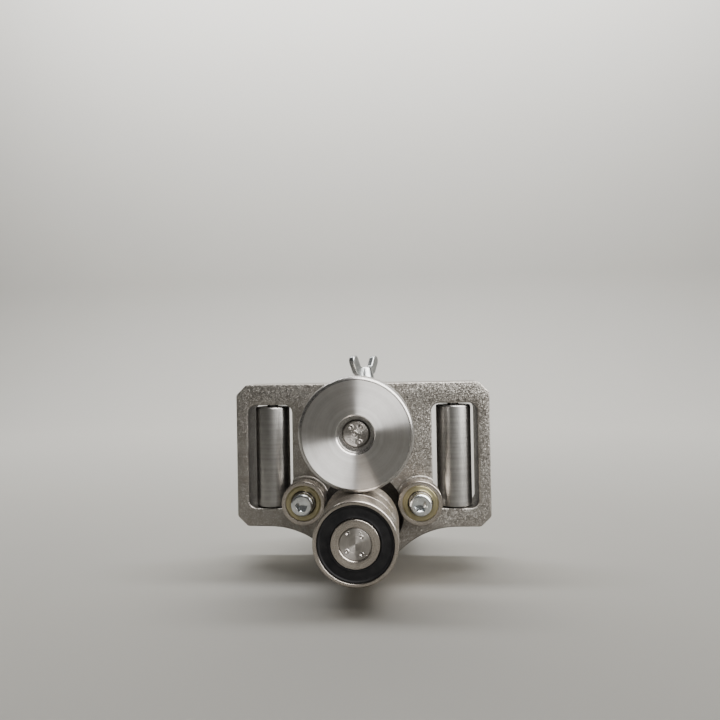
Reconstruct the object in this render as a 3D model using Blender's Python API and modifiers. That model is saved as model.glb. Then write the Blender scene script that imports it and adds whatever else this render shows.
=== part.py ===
"""Roller honing guide: a cast plate that carries a nip of two rollers and four guide rollers.

The plate stands upright, with its front face in the plane Y = 0 and -Y towards the user. A stack of
sealed bearings on a fixed shaft is the lower roller. A turned wheel above it runs on a shaft in a
slide block behind the plate, springs press the block down, and a wing nut lifts it to open the nip.
Sizes below are in millimetres, and MM turns them into Blender's metres.
"""
import math

import bmesh
import bpy

MM = 0.001
NAME = "honing_guide"

# Nip: the two axes run along Y, one above the other.
LOWER_Z = 22.9
ROLLER_R = 16.0
WHEEL_R = 22.5
NIP_GAP = 0.3
UPPER_Z = LOWER_Z + ROLLER_R + WHEEL_R + NIP_GAP
LIFT = 4.0

# Frame plate. Heights are measured from the lower axis, which the lobe is drawn about.
PLATE_HALF_W = 56.5
PLATE_T = 16.0
PLATE_TOP = LOWER_Z + 57.5
PLATE_BOTTOM = LOWER_Z - 6.2
CORNER = 4.6
DRAFT = 0.1
LOBE_R = 23.4
LOBE_FILLET = 36.0
POCKET_R = 18.3
POCKET_DEPTH = 9.0
SLOT_R = 8.0

# Windows, and the rollers that stand in them.
WINDOW_IN = 31.1
WINDOW_OUT = 51.2
WINDOW_BOTTOM = LOWER_Z + 2.0
WINDOW_TOP = LOWER_Z + 48.2
WINDOW_CORNER = 3.5
SIDE_ROLLER_R = 7.7
SIDE_ROLLER_Y = 6.4
SIDE_ROLLER_BOTTOM = WINDOW_BOTTOM + 0.6
SIDE_ROLLER_TOP = WINDOW_TOP - 1.0
BUSH_R = 4.0
BUSH_LENGTH = 7.9
PIN_R = 2.5
PIN_BITE = 5.5

# Lower roller: three bearings of 12 x 32 x 10 on one shaft.
STACK_FRONT = -42.8
BEARING_PITCH = 10.0
LOWER_SHAFT_R = 6.0

# Wheel and its shaft.
WHEEL_FRONT = -33.0
WHEEL_WIDTH = 14.0
WHEEL_EDGE = 1.4
WHEEL_RECESS_R = 7.25
WHEEL_RECESS = 3.5
WHEEL_SHAFT_R = 5.0
COLLAR_R = 6.5

# Rear housing and the slide block inside it.
HOUSING_FRONT = PLATE_T + 0.3
HOUSING_REAR = 42.8
HOUSING_TOP = PLATE_TOP - 1.0
HOUSING_HALF_W = 27.0
HOUSING_WALL_Y = 40.3
HOUSING_SLOT_R = 8.5
FOOT_HALF_W = 14.0
BLOCK_HALF_W = 18.0
BLOCK_FRONT = PLATE_T + 0.6
BLOCK_REAR = HOUSING_WALL_Y - 0.3
BLOCK_BOTTOM = UPPER_Z - 11.3
BLOCK_TOP = UPPER_Z + 11.2
BLOCK_GAP = 0.3
BRIDGE_Z = BLOCK_TOP + LIFT + BLOCK_GAP
RETAINER_R = 7.4
RETAINER_T = 1.0
RETAINER_GROOVE_R = 4.4
SCREW_X = 22.6
SCREW_HEIGHTS = {"lower": 40.0, "upper": 75.2}
SCREW_R = 1.95
SCREW_TIP = 8.5
SCREW_HEAD_R = 3.4
SCREW_HEAD_REAR = HOUSING_REAR - 0.4
SCREW_HEAD_FRONT = SCREW_HEAD_REAR - 3.9

# Lifting stud, wing nut and springs.
STUD_Y = 28.2
STUD_R = 2.4
SPRING_X = 13.7
SPRING_POCKET_R = 3.0
SPRING_COIL_R = 2.25
SPRING_WIRE = 0.9
SPRING_BOTTOM = UPPER_Z - 3.8
SPRING_TURNS = 5
WASHER_R = 5.2
WASHER_T = 1.6
NUT_BASE = HOUSING_TOP + 0.05 + WASHER_T + 0.05
NUT_HUB_R = 5.0
NUT_HUB_H = 6.5
NUT_TURN = math.radians(65)
WING_T = 2.3

# Guide bearings of 6 x 19 x 6, one each side of the nip.
GUIDE_X = 25.3
GUIDE_Z = LOWER_Z + 6.0
GUIDE_FRONT = -7.5
BOSS_R = 10.6
BOSS_PROUD = 1.0
PAD_PROUD = 0.9
GUIDE_SCREW_R = 2.95
GUIDE_SCREW_TIP = 12.0
GUIDE_HEAD_R = 4.8
GUIDE_HEAD_H = 3.7
GUIDE_HEAD_EDGE = 1.5
GUIDE_SPACER_R = 4.9

# Radial gap where one round piece sits in another.
FIT = 0.05

# Each bearing: sizes of its rings, its balls and its covers.
LOWER_BEARING = dict(bore=6.0, outer=16.0, width=9.9, inner_land=9.1, outer_land=12.9, pitch=11.0,
                     ball=2.9, balls=7, cover="seal", cover_r=14.4, cover_in=9.4, cover_t=0.9,
                     inset=0.3, segments=20)
GUIDE_BEARING = dict(bore=2.95, outer=9.5, width=6.0, inner_land=5.0, outer_land=7.2, pitch=6.15,
                     ball=1.6, balls=7, cover="shield", cover_r=7.75, cover_in=5.3, cover_t=0.5,
                     inset=0.2, segments=18)
BLOCK_BEARING = dict(bore=5.0, outer=9.5, width=5.0, inner_land=6.2, outer_land=8.3, pitch=7.25,
                     ball=1.1, balls=8, cover=None, segments=16)

# Finishes: base colour, roughness, metallic.
FINISHES = {
    "cast": ((0.55, 0.53, 0.50), 0.45, 1.0),
    "turned": ((0.72, 0.71, 0.70), 0.25, 1.0),
    "ground": ((0.40, 0.39, 0.38), 0.35, 1.0),
    "ring": ((0.50, 0.46, 0.42), 0.28, 1.0),
    "steel": ((0.45, 0.44, 0.43), 0.40, 1.0),
    "black_steel": ((0.05, 0.05, 0.05), 0.45, 0.8),
    "zinc": ((0.75, 0.77, 0.78), 0.22, 1.0),
    "shield": ((0.58, 0.52, 0.33), 0.35, 1.0),
    "rubber": ((0.02, 0.02, 0.022), 0.55, 0.0),
    "bronze": ((0.55, 0.38, 0.20), 0.40, 1.0),
}


def clear_scene():
    """Start from an empty scene."""
    for obj in list(bpy.data.objects):
        bpy.data.objects.remove(obj, do_unlink=True)


def collection(name):
    """A collection of the given name in the scene."""
    made = bpy.data.collections.new(name)
    bpy.context.scene.collection.children.link(made)
    return made


def finish_node(obj, name, finish):
    """Name a piece, give it its own material and put it with the parts."""
    colour, roughness, metallic = FINISHES[finish]
    material = bpy.data.materials.new(name)
    material.use_nodes = True
    shader = material.node_tree.nodes["Principled BSDF"]
    shader.inputs["Base Color"].default_value = (*colour, 1.0)
    shader.inputs["Roughness"].default_value = roughness
    shader.inputs["Metallic"].default_value = metallic
    obj.data.materials.append(material)
    obj.name = name
    parts.objects.link(obj)
    return obj


def finish_cutter(obj, name):
    """Name a tool body and put it with the cutters."""
    obj.name = name
    obj.hide_render = True
    obj.display_type = "WIRE"
    cutters.objects.link(obj)
    return obj


def combine(target, tool, operation="DIFFERENCE"):
    """Cut or join one body with another."""
    boolean = target.modifiers.new(tool.name, "BOOLEAN")
    boolean.object = tool
    boolean.operation = operation
    boolean.solver = "EXACT"


def bmesh_object(name, fill):
    """A mesh object that fill(bm) makes."""
    bm = bmesh.new()
    fill(bm)
    mesh = bpy.data.meshes.new(name)
    bm.to_mesh(mesh)
    bm.free()
    return bpy.data.objects.new(name, mesh)


def lay_along(obj, axis, centre):
    """Place a piece whose own axis is Z so that it lies along Z or Y."""
    if axis == "Y":
        obj.rotation_euler = (-math.pi / 2, 0, 0)
    obj.location = [c * MM for c in centre]
    return obj


def turned(name, profile, axis, centre, segments):
    """Turn a profile of (radius, height) points. It is a ring if it stays off the axis."""
    count = len(profile)
    last = count if profile[0][0] > 0 else count - 1
    mesh = bpy.data.meshes.new(name)
    edges = [(i, (i + 1) % count) for i in range(last)]
    mesh.from_pydata([(r * MM, 0, h * MM) for r, h in profile], edges, [])
    obj = bpy.data.objects.new(name, mesh)
    screw = obj.modifiers.new("turn", "SCREW")
    screw.steps = segments
    screw.render_steps = segments
    screw.use_merge_vertices = True
    screw.merge_threshold = 0.00001
    screw.use_smooth_shade = True
    return lay_along(obj, axis, centre)


def rod(name, axis, centre, radius, start, end, segments=24):
    """A plain cylinder along Z or Y, from start to end along its axis."""
    def fill(bm):
        bmesh.ops.create_cone(bm, cap_ends=True, segments=segments, radius1=radius * MM,
                              radius2=radius * MM, depth=(end - start) * MM)
    place = list(centre)
    place["XYZ".index(axis)] = (start + end) / 2
    return lay_along(bmesh_object(name, fill), axis, place)


def box(name, low, high):
    """A block between two corners."""
    def fill(bm):
        bmesh.ops.create_cube(bm, size=MM)
        bmesh.ops.scale(bm, vec=[b - a for a, b in zip(low, high)], verts=bm.verts)
    obj = bmesh_object(name, fill)
    obj.location = [(a + b) / 2 * MM for a, b in zip(low, high)]
    return obj


def arc(cx, cz, radius, start, end, steps):
    """Points on a circle from one angle to another, in degrees."""
    angles = [math.radians(start + (end - start) * i / steps) for i in range(steps + 1)]
    return [(cx + radius * math.cos(a), cz + radius * math.sin(a)) for a in angles]


def sheet(name, loop, thickness, rotation, centre):
    """A flat outline of (x, z) points with a thickness, made into a welded mesh."""
    curve = bpy.data.curves.new(name, "CURVE")
    curve.dimensions = "2D"
    curve.fill_mode = "BOTH"
    curve.extrude = thickness / 2 * MM
    spline = curve.splines.new("POLY")
    spline.points.add(len(loop) - 1)
    spline.use_cyclic_u = True
    for point, (x, z) in zip(spline.points, loop):
        point.co = (x * MM, z * MM, 0, 1)
    drawn = bpy.data.objects.new(name, curve)
    drawn.rotation_euler = rotation
    drawn.location = [c * MM for c in centre]
    bpy.context.scene.collection.objects.link(drawn)
    bpy.context.view_layer.update()
    graph = bpy.context.evaluated_depsgraph_get()
    mesh = bpy.data.meshes.new_from_object(drawn.evaluated_get(graph))
    bm = bmesh.new()
    bm.from_mesh(mesh)
    bmesh.ops.remove_doubles(bm, verts=bm.verts, dist=0.000001)
    bmesh.ops.dissolve_limit(bm, angle_limit=math.radians(0.2), verts=bm.verts, edges=bm.edges)
    bmesh.ops.recalc_face_normals(bm, faces=bm.faces)
    bm.to_mesh(mesh)
    bm.free()
    solid = bpy.data.objects.new(name, mesh)
    solid.matrix_world = drawn.matrix_world
    bpy.data.objects.remove(drawn, do_unlink=True)
    return solid


def upright(name, loop, front, rear):
    """A sheet in the XZ plane, from a front face to a rear face."""
    return sheet(name, loop, rear - front, (math.pi / 2, 0, 0), (0, (front + rear) / 2, 0))


def slot_loop(radius, bottom, top):
    """Outline of an upright slot on the middle line, from one end's centre to the other's."""
    return arc(0, top, radius, 0, 180, 9) + arc(0, bottom, radius, 180, 360, 9)


def plate_loop():
    """Outline of the frame plate: chamfered corners, and a round lobe below with wide fillets."""
    reach = LOBE_R + LOBE_FILLET
    drop = LOWER_Z - PLATE_BOTTOM + LOBE_FILLET
    fillet_x = math.sqrt(reach ** 2 - drop ** 2)
    fillet_z = PLATE_BOTTOM - LOBE_FILLET
    meet = math.degrees(math.atan2(drop, fillet_x))
    flat = math.degrees(math.asin(LOWER_Z / LOBE_R))
    half = [(PLATE_HALF_W - CORNER, PLATE_TOP), (PLATE_HALF_W, PLATE_TOP - CORNER)]
    half += [(PLATE_HALF_W, PLATE_BOTTOM + CORNER), (PLATE_HALF_W - CORNER, PLATE_BOTTOM + DRAFT)]
    half += arc(fillet_x, fillet_z, LOBE_FILLET, 90, 180 - meet, 8)
    half += arc(0, LOWER_Z, LOBE_R, -meet, -flat, 8)[1:]
    return half + [(-x, z) for x, z in reversed(half)]


def window_loop():
    """Outline of the right window."""
    r = WINDOW_CORNER
    left, right = WINDOW_IN + r, WINDOW_OUT - r
    low, high = WINDOW_BOTTOM + r, WINDOW_TOP - r
    loop = arc(right, high, r, 0, 90, 3) + arc(left, high, r, 90, 180, 3)
    return loop + arc(left, low, r, 180, 270, 3) + arc(right, low, r, 270, 360, 3)


def pad_loop():
    """Outline of the raised pad left of the pocket, whose top edge slopes down to the pocket."""
    top, edge, inner = LOWER_Z + 15.0, WINDOW_IN + 1.5, 14.0
    return [(-edge, top), (-23.5, top), (-inner, LOWER_Z + 7.6), (-inner, PLATE_BOTTOM + 0.5),
            (-edge, PLATE_BOTTOM + 1.5)]


def frame_plate():
    """The cast plate with its windows, pocket, slot and holes."""
    plate = finish_node(upright("plate", plate_loop(), 0, PLATE_T), "frame_plate", "cast")
    pad = finish_cutter(upright("pad", pad_loop(), -PAD_PROUD, 1.0), "pad")
    combine(plate, pad, "UNION")
    window = upright("window", window_loop(), -3.0, PLATE_T + 2)
    mirror = window.modifiers.new("both_sides", "MIRROR")
    mirror.use_mirror_merge = False
    for side in (-1, 1):
        boss = rod("boss", "Y", (side * GUIDE_X, 0, GUIDE_Z), BOSS_R, -BOSS_PROUD, 1.5)
        combine(plate, finish_cutter(boss, "guide_boss"), "UNION")
    combine(plate, finish_cutter(window, "windows"))
    pocket = rod("pocket", "Y", (0, 0, LOWER_Z), POCKET_R, -3, POCKET_DEPTH, 36)
    combine(plate, finish_cutter(pocket, "roller_pocket"))
    slot = upright("slot", slot_loop(SLOT_R, UPPER_Z, UPPER_Z + LIFT), -2, PLATE_T + 2)
    combine(plate, finish_cutter(slot, "shaft_slot"))
    seat = rod("seat", "Y", (0, 0, LOWER_Z), LOWER_SHAFT_R + FIT, 2, PLATE_T + 2)
    combine(plate, finish_cutter(seat, "shaft_seat"))
    for side in (-1, 1):
        x = side * (WINDOW_IN + WINDOW_OUT) / 2
        pin = rod("pin", "Z", (x, SIDE_ROLLER_Y, 0), PIN_R + FIT, PLATE_BOTTOM - 2,
                  WINDOW_TOP + PIN_BITE + 0.2)
        combine(plate, finish_cutter(pin, "pin_hole"))
        screw = rod("hole", "Y", (side * GUIDE_X, 0, GUIDE_Z), GUIDE_SCREW_R + FIT, -3,
                    GUIDE_SCREW_TIP + 0.5)
        combine(plate, finish_cutter(screw, "guide_screw_hole"))
        for height in SCREW_HEIGHTS.values():
            place = (side * SCREW_X, 0, height)
            hole = rod("hole", "Y", place, SCREW_R + FIT, SCREW_TIP - 0.5, PLATE_T + 2, 16)
            combine(plate, finish_cutter(hole, "housing_screw_hole"))


def rear_housing():
    """The heavy rear casting: foot, guide walls for the block, and the bridge above it."""
    loop = [(HOUSING_HALF_W - 3, HOUSING_TOP), (HOUSING_HALF_W, HOUSING_TOP - 3),
            (HOUSING_HALF_W, 18.0), (FOOT_HALF_W, 5.0), (FOOT_HALF_W, 0.0)]
    loop += [(-x, z) for x, z in reversed(loop)]
    housing = upright("housing", loop, HOUSING_FRONT, HOUSING_REAR)
    finish_node(housing, "rear_housing", "cast")
    half = BLOCK_HALF_W + BLOCK_GAP
    room = box("room", (-half, PLATE_T, BLOCK_BOTTOM - BLOCK_GAP), (half, HOUSING_WALL_Y, BRIDGE_Z))
    combine(housing, finish_cutter(room, "block_room"))
    loop = slot_loop(HOUSING_SLOT_R, UPPER_Z, UPPER_Z + LIFT)
    slot = upright("slot", loop, HOUSING_WALL_Y - 1, HOUSING_REAR + 1)
    combine(housing, finish_cutter(slot, "rear_slot"))
    hole = rod("hole", "Z", (0, STUD_Y, 0), STUD_R + 0.3, BRIDGE_Z - 1, HOUSING_TOP + 1, 24)
    combine(housing, finish_cutter(hole, "stud_hole"))
    for side in (-1, 1):
        for height in SCREW_HEIGHTS.values():
            place = (side * SCREW_X, 0, height)
            hole = rod("hole", "Y", place, SCREW_R + FIT, PLATE_T - 1, HOUSING_REAR, 16)
            combine(housing, finish_cutter(hole, "screw_hole"))
            sink = rod("sink", "Y", place, SCREW_HEAD_R + 0.1, SCREW_HEAD_FRONT - 0.1, HOUSING_REAR + 1, 16)
            combine(housing, finish_cutter(sink, "screw_sink"))


def housing_screws():
    """Four cap screws that hold the housing to the plate from behind."""
    front, rear, r = SCREW_HEAD_FRONT, SCREW_HEAD_REAR, SCREW_HEAD_R
    profile = [(0, rear), (r - 0.4, rear), (r, rear - 0.4), (r, front), (SCREW_R, front),
               (SCREW_R, SCREW_TIP), (0, SCREW_TIP)]
    for side, x in (("left", -SCREW_X), ("right", SCREW_X)):
        for level, height in SCREW_HEIGHTS.items():
            screw = turned("screw", profile, "Y", (x, 0, height), 16)
            finish_node(screw, f"{level}_{side}_housing_screw", "black_steel")
            socket = rod("socket", "Y", (x, 0, height), 1.75, rear - 2, rear + 1, 6)
            combine(screw, finish_cutter(socket, "housing_screw_socket"))


def side_rollers():
    """The upright roller in each window, on a pin and two bushes."""
    length = SIDE_ROLLER_TOP - SIDE_ROLLER_BOTTOM
    seat = BUSH_LENGTH + 0.1
    r = SIDE_ROLLER_R
    for side, x in (("left", -1), ("right", 1)):
        foot = (x * (WINDOW_IN + WINDOW_OUT) / 2, SIDE_ROLLER_Y, SIDE_ROLLER_BOTTOM)
        profile = [(r - 0.8, length), (r, length - 0.8), (r, 0.8), (r - 0.8, 0), (BUSH_R + FIT, 0),
                   (BUSH_R + FIT, seat), (3.0, seat), (3.0, length - seat),
                   (BUSH_R + FIT, length - seat), (BUSH_R + FIT, length)]
        roller = turned("roller", profile, "Z", foot, 24)
        finish_node(roller, f"{side}_window_roller", "ground")
        for level, start in (("lower", 0.05), ("upper", length - BUSH_LENGTH - 0.05)):
            ring = [(BUSH_R, start + BUSH_LENGTH), (BUSH_R, start), (PIN_R + 0.1, start),
                    (PIN_R + 0.1, start + BUSH_LENGTH)]
            bush = turned("bush", ring, "Z", foot, 24)
            finish_node(bush, f"{side}_{level}_bush", "bronze")
        low, high = PLATE_BOTTOM + 0.6, WINDOW_TOP + PIN_BITE
        pin = turned("pin", [(0, high), (PIN_R - 0.3, high), (PIN_R, high - 0.3), (PIN_R, low + 0.3),
                             (PIN_R - 0.3, low), (0, low)], "Z", (*foot[:2], 0), 24)
        finish_node(pin, f"{side}_roller_pin", "steel")


def ball_bearing(prefix, size, x, z, front, ring_finish):
    """One ball bearing along Y: two grooved rings, a ball set in its cage, and covers if it has any."""
    def ring(kind, profile, finish):
        obj = turned(kind, profile, "Y", (x, front, z), size["segments"])
        return finish_node(obj, f"{prefix}_{kind}", finish)

    width, middle, ball, pitch = size["width"], size["width"] / 2, size["ball"], size["pitch"]
    half, race = ball, ball / 2
    land, groove = size["outer_land"], pitch + ball * 1.07 + 0.05
    outer = [(size["outer"], width), (size["outer"], 0)]
    if size["cover"]:
        recess = size["inset"] + size["cover_t"] + 0.1
        mouth = size["cover_r"] + FIT
        outer += [(mouth, 0), (mouth, recess), (land, recess)]
    else:
        outer += [(land, 0)]
    outer += [(land, middle - half), (groove, middle - race), (groove, middle + race), (land, middle + half)]
    if size["cover"]:
        outer += [(land, width - recess), (mouth, width - recess), (mouth, width)]
    else:
        outer += [(land, width)]
    ring("outer_ring", outer, ring_finish)

    land, groove, bore = size["inner_land"], pitch - ball * 1.07 - 0.05, size["bore"] + FIT
    ring("inner_ring", [(land, width), (land, middle + half), (groove, middle + race),
                        (groove, middle - race), (land, middle - half), (land, 0), (bore, 0),
                        (bore, width)], ring_finish)

    deep, thick = ball * 0.32, ball * 0.3
    cage = ring("ball_cage", [(pitch + thick, middle + deep), (pitch + thick, middle - deep),
                              (pitch - thick, middle - deep), (pitch - thick, middle + deep)], "steel")

    def fill(bm):
        for i in range(size["balls"]):
            angle = 2 * math.pi * i / size["balls"]
            made = bmesh.ops.create_uvsphere(bm, u_segments=6, v_segments=4, radius=ball * MM)
            shift = (pitch * math.cos(angle) * MM, pitch * math.sin(angle) * MM, middle * MM)
            bmesh.ops.translate(bm, vec=shift, verts=made["verts"])
    balls = lay_along(bmesh_object("balls", fill), "Y", (x, front, z))
    combine(cage, finish_cutter(balls, f"{prefix}_balls"), "UNION")

    if size["cover"]:
        finish = {"seal": "rubber", "shield": "shield"}[size["cover"]]
        for face, start in (("front", size["inset"]), ("rear", width - size["inset"] - size["cover_t"])):
            stop = start + size["cover_t"]
            ring(f"{face}_{size['cover']}", [(size["cover_r"], stop), (size["cover_r"], start),
                                             (size["cover_in"], start), (size["cover_in"], stop)], finish)


def lower_roller():
    """The stack of sealed bearings, its shaft pressed into the lobe, and the spacer behind it."""
    for i, place in enumerate(("front", "middle", "rear")):
        ball_bearing(f"{place}_roller_bearing", LOWER_BEARING, 0, LOWER_Z,
                     STACK_FRONT + i * BEARING_PITCH, "ring")
    r, front, rear = LOWER_SHAFT_R, STACK_FRONT + 0.3, PLATE_T - 0.2
    profile = [(0, rear), (r - 0.4, rear), (r, rear - 0.4), (r, front + 0.3), (r - 0.3, front), (0, front)]
    finish_node(turned("shaft", profile, "Y", (0, 0, LOWER_Z), 20), "lower_shaft", "steel")
    front, rear = STACK_FRONT + 3 * BEARING_PITCH, POCKET_DEPTH - 0.2
    ring = [(9.0, rear), (9.0, front), (r + FIT, front), (r + FIT, rear)]
    finish_node(turned("spacer", ring, "Y", (0, 0, LOWER_Z), 20), "lower_shaft_spacer", "steel")


def wheel_and_shaft():
    """The turned wheel on its collared shaft, held at the back by a retaining ring."""
    r, rear = WHEEL_R, WHEEL_FRONT + WHEEL_WIDTH
    edge = [(r - WHEEL_EDGE + dx, dy) for dx, dy in arc(0, 0, WHEEL_EDGE, 90, 0, 3)]
    profile = [(x, rear - WHEEL_EDGE + dy) for x, dy in edge]
    profile += [(x, WHEEL_FRONT + WHEEL_EDGE - dy) for x, dy in reversed(edge)]
    floor = WHEEL_FRONT + WHEEL_RECESS
    profile += [(WHEEL_RECESS_R + 0.3, WHEEL_FRONT), (WHEEL_RECESS_R, WHEEL_FRONT + 0.3),
                (WHEEL_RECESS_R, floor), (WHEEL_SHAFT_R + FIT, floor), (WHEEL_SHAFT_R + FIT, rear)]
    finish_node(turned("wheel", profile, "Y", (0, 0, UPPER_Z), 36), "wheel", "turned")

    r, collar_start, collar_end = WHEEL_SHAFT_R, rear + 0.1, BLOCK_FRONT + 0.3
    clip_front, neck = HOUSING_WALL_Y + 0.1, RETAINER_GROOVE_R
    clip_rear, tail = clip_front + RETAINER_T, HOUSING_REAR - 0.5
    groove_start, groove_end = clip_front - FIT, clip_rear + FIT
    profile = [(0, tail), (r - 0.3, tail), (r, tail - 0.3), (r, groove_end), (neck, groove_end),
               (neck, groove_start), (r, groove_start), (r, collar_end), (COLLAR_R, collar_end),
               (COLLAR_R, collar_start), (r, collar_start), (r, floor - 0.4), (r - 0.3, floor - 0.7),
               (0, floor - 0.7)]
    finish_node(turned("shaft", profile, "Y", (0, 0, UPPER_Z), 16), "wheel_shaft", "steel")
    ring = [(RETAINER_R, clip_rear), (RETAINER_R, clip_front), (neck + 0.1, clip_front),
            (neck + 0.1, clip_rear)]
    clip = turned("clip", ring, "Y", (0, 0, UPPER_Z), 16)
    finish_node(clip, "retaining_ring", "black_steel")
    mouth = box("mouth", (-neck / 2, clip_front - 1, UPPER_Z - 9), (neck / 2, clip_rear + 1, UPPER_Z))
    combine(clip, finish_cutter(mouth, "retaining_ring_mouth"))


def slide_block():
    """The block that carries the wheel shaft, with its two bearings, stud and springs."""
    block = box("block", (-BLOCK_HALF_W, BLOCK_FRONT, BLOCK_BOTTOM), (BLOCK_HALF_W, BLOCK_REAR, BLOCK_TOP))
    finish_node(block, "slide_block", "steel")
    centre, seat, width = (0, 0, UPPER_Z), BLOCK_BEARING["outer"] + FIT, BLOCK_BEARING["width"]
    front, rear = BLOCK_FRONT + 0.4, BLOCK_REAR - 0.4 - width
    bore = rod("bore", "Y", centre, 7.0, BLOCK_FRONT - 1, BLOCK_REAR + 1)
    combine(block, finish_cutter(bore, "block_bore"))
    for start, end in ((BLOCK_FRONT - 1, front + width + 0.1), (rear - 0.1, BLOCK_REAR + 1)):
        combine(block, finish_cutter(rod("seat", "Y", centre, seat, start, end, 32), "bearing_seat"))
    hole = rod("hole", "Z", (0, STUD_Y, 0), STUD_R + FIT, UPPER_Z, BLOCK_TOP + 1)
    combine(block, finish_cutter(hole, "stud_seat"))
    ball_bearing("front_block_bearing", BLOCK_BEARING, 0, UPPER_Z, front, "ring")
    ball_bearing("rear_block_bearing", BLOCK_BEARING, 0, UPPER_Z, rear, "ring")
    low, high = UPPER_Z + 7.4, NUT_BASE + NUT_HUB_H - 0.3
    stud = turned("stud", [(0, high), (STUD_R - 0.4, high), (STUD_R, high - 0.4), (STUD_R, low), (0, low)],
                  "Z", (0, STUD_Y, 0), 24)
    finish_node(stud, "lift_stud", "zinc")
    for side, x in (("left", -SPRING_X), ("right", SPRING_X)):
        pocket = rod("pocket", "Z", (x, STUD_Y, 0), SPRING_POCKET_R, SPRING_BOTTOM - 0.2, BLOCK_TOP + 1, 16)
        combine(block, finish_cutter(pocket, "spring_pocket"))
        spring(f"{side}_spring", x)


def spring(name, x):
    """A compression spring from the floor of its pocket up to the bridge."""
    low, high = SPRING_BOTTOM + SPRING_WIRE / 2, BRIDGE_Z - 0.2 - SPRING_WIRE / 2
    count = SPRING_TURNS * 8
    curve = bpy.data.curves.new(name, "CURVE")
    curve.dimensions = "3D"
    curve.bevel_depth = SPRING_WIRE / 2 * MM
    curve.bevel_resolution = 2
    curve.use_fill_caps = True
    wire = curve.splines.new("POLY")
    wire.points.add(count)
    for i, point in enumerate(wire.points):
        angle = 2 * math.pi * SPRING_TURNS * i / count
        point.co = (SPRING_COIL_R * math.cos(angle) * MM, SPRING_COIL_R * math.sin(angle) * MM,
                    (high - low) * i / count * MM, 1)
    coil = bpy.data.objects.new(name, curve)
    coil.location = (x * MM, STUD_Y * MM, low * MM)
    finish_node(coil, name, "steel")


def wing_nut():
    """The wing nut and its washer, on the stud above the bridge."""
    base = NUT_BASE - 0.05
    ring = [(WASHER_R, base), (WASHER_R, base - WASHER_T), (STUD_R + 0.3, base - WASHER_T),
            (STUD_R + 0.3, base)]
    finish_node(turned("washer", ring, "Z", (0, STUD_Y, 0), 24), "nut_washer", "zinc")
    top, bore = NUT_BASE + NUT_HUB_H, STUD_R + 0.1
    r = NUT_HUB_R
    hub = [(bore + 0.4, top), (r - 1.3, top), (r - 0.8, top - 0.6), (r, NUT_BASE + 1), (r, NUT_BASE),
           (bore, NUT_BASE), (bore, top - 0.4)]
    nut = finish_node(turned("nut", hub, "Z", (0, STUD_Y, 0), 24), "wing_nut", "zinc")
    wing = [(3.0, 1.4), (5.6, 1.2), (9.6, 3.3)] + arc(10.3, 9.5, 2.8, -40, 150, 6)
    wing += [(5.4, 6.8), (3.0, 6.0)]
    loop = [(x, z + NUT_BASE) for x, z in wing]
    for turn in (NUT_TURN, NUT_TURN + math.pi):
        ear = sheet("wing", loop, WING_T, (math.pi / 2, 0, turn), (0, STUD_Y, 0))
        combine(nut, finish_cutter(ear, "wing"), "UNION")


def guide_bearings():
    """The small shielded bearing each side of the nip, with its screw and spacer."""
    for side, x in (("left", -GUIDE_X), ("right", GUIDE_X)):
        ball_bearing(f"{side}_guide_bearing", GUIDE_BEARING, x, GUIDE_Z, GUIDE_FRONT, "ring")
        back = GUIDE_FRONT + GUIDE_BEARING["width"] + FIT
        ring = [(GUIDE_SPACER_R, -BOSS_PROUD - FIT), (GUIDE_SPACER_R, back), (GUIDE_SCREW_R + FIT, back),
                (GUIDE_SCREW_R + FIT, -BOSS_PROUD - FIT)]
        spacer = turned("spacer", ring, "Y", (x, 0, GUIDE_Z), 18)
        finish_node(spacer, f"{side}_guide_spacer", "steel")
        seat, head, r, edge = GUIDE_FRONT - FIT, GUIDE_HEAD_H, GUIDE_HEAD_R, GUIDE_HEAD_EDGE
        dome = [(r - edge + dx, seat - head + edge - dy) for dx, dy in arc(0, 0, edge, 0, 90, 3)]
        profile = [(0, GUIDE_SCREW_TIP), (GUIDE_SCREW_R, GUIDE_SCREW_TIP), (GUIDE_SCREW_R, seat),
                   (r, seat)] + dome
        profile += [(0, seat - head)]
        screw = turned("screw", profile, "Y", (x, 0, GUIDE_Z), 18)
        finish_node(screw, f"{side}_guide_screw", "zinc")
        socket = rod("socket", "Y", (x, 0, GUIDE_Z), 2.75, seat - head - 1, seat - head + 2.2, 6)
        combine(screw, finish_cutter(socket, "guide_screw_socket"))


clear_scene()
parts = collection(NAME)
cutters = collection("cutters")
frame_plate()
rear_housing()
housing_screws()
side_rollers()
lower_roller()
wheel_and_shaft()
slide_block()
wing_nut()
guide_bearings()
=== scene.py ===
"""Looks of the roller honing guide: fine meshes for every piece, metal finishes, light and camera.

Lengths are in millimetres until a mesh is made, and MM turns them into metres. Round pieces are
turned about their own axis, which runs along Y or Z, and each one rides on its body.
"""
import math

import bmesh
import bpy
from mathutils import Matrix, Vector, noise


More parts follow.
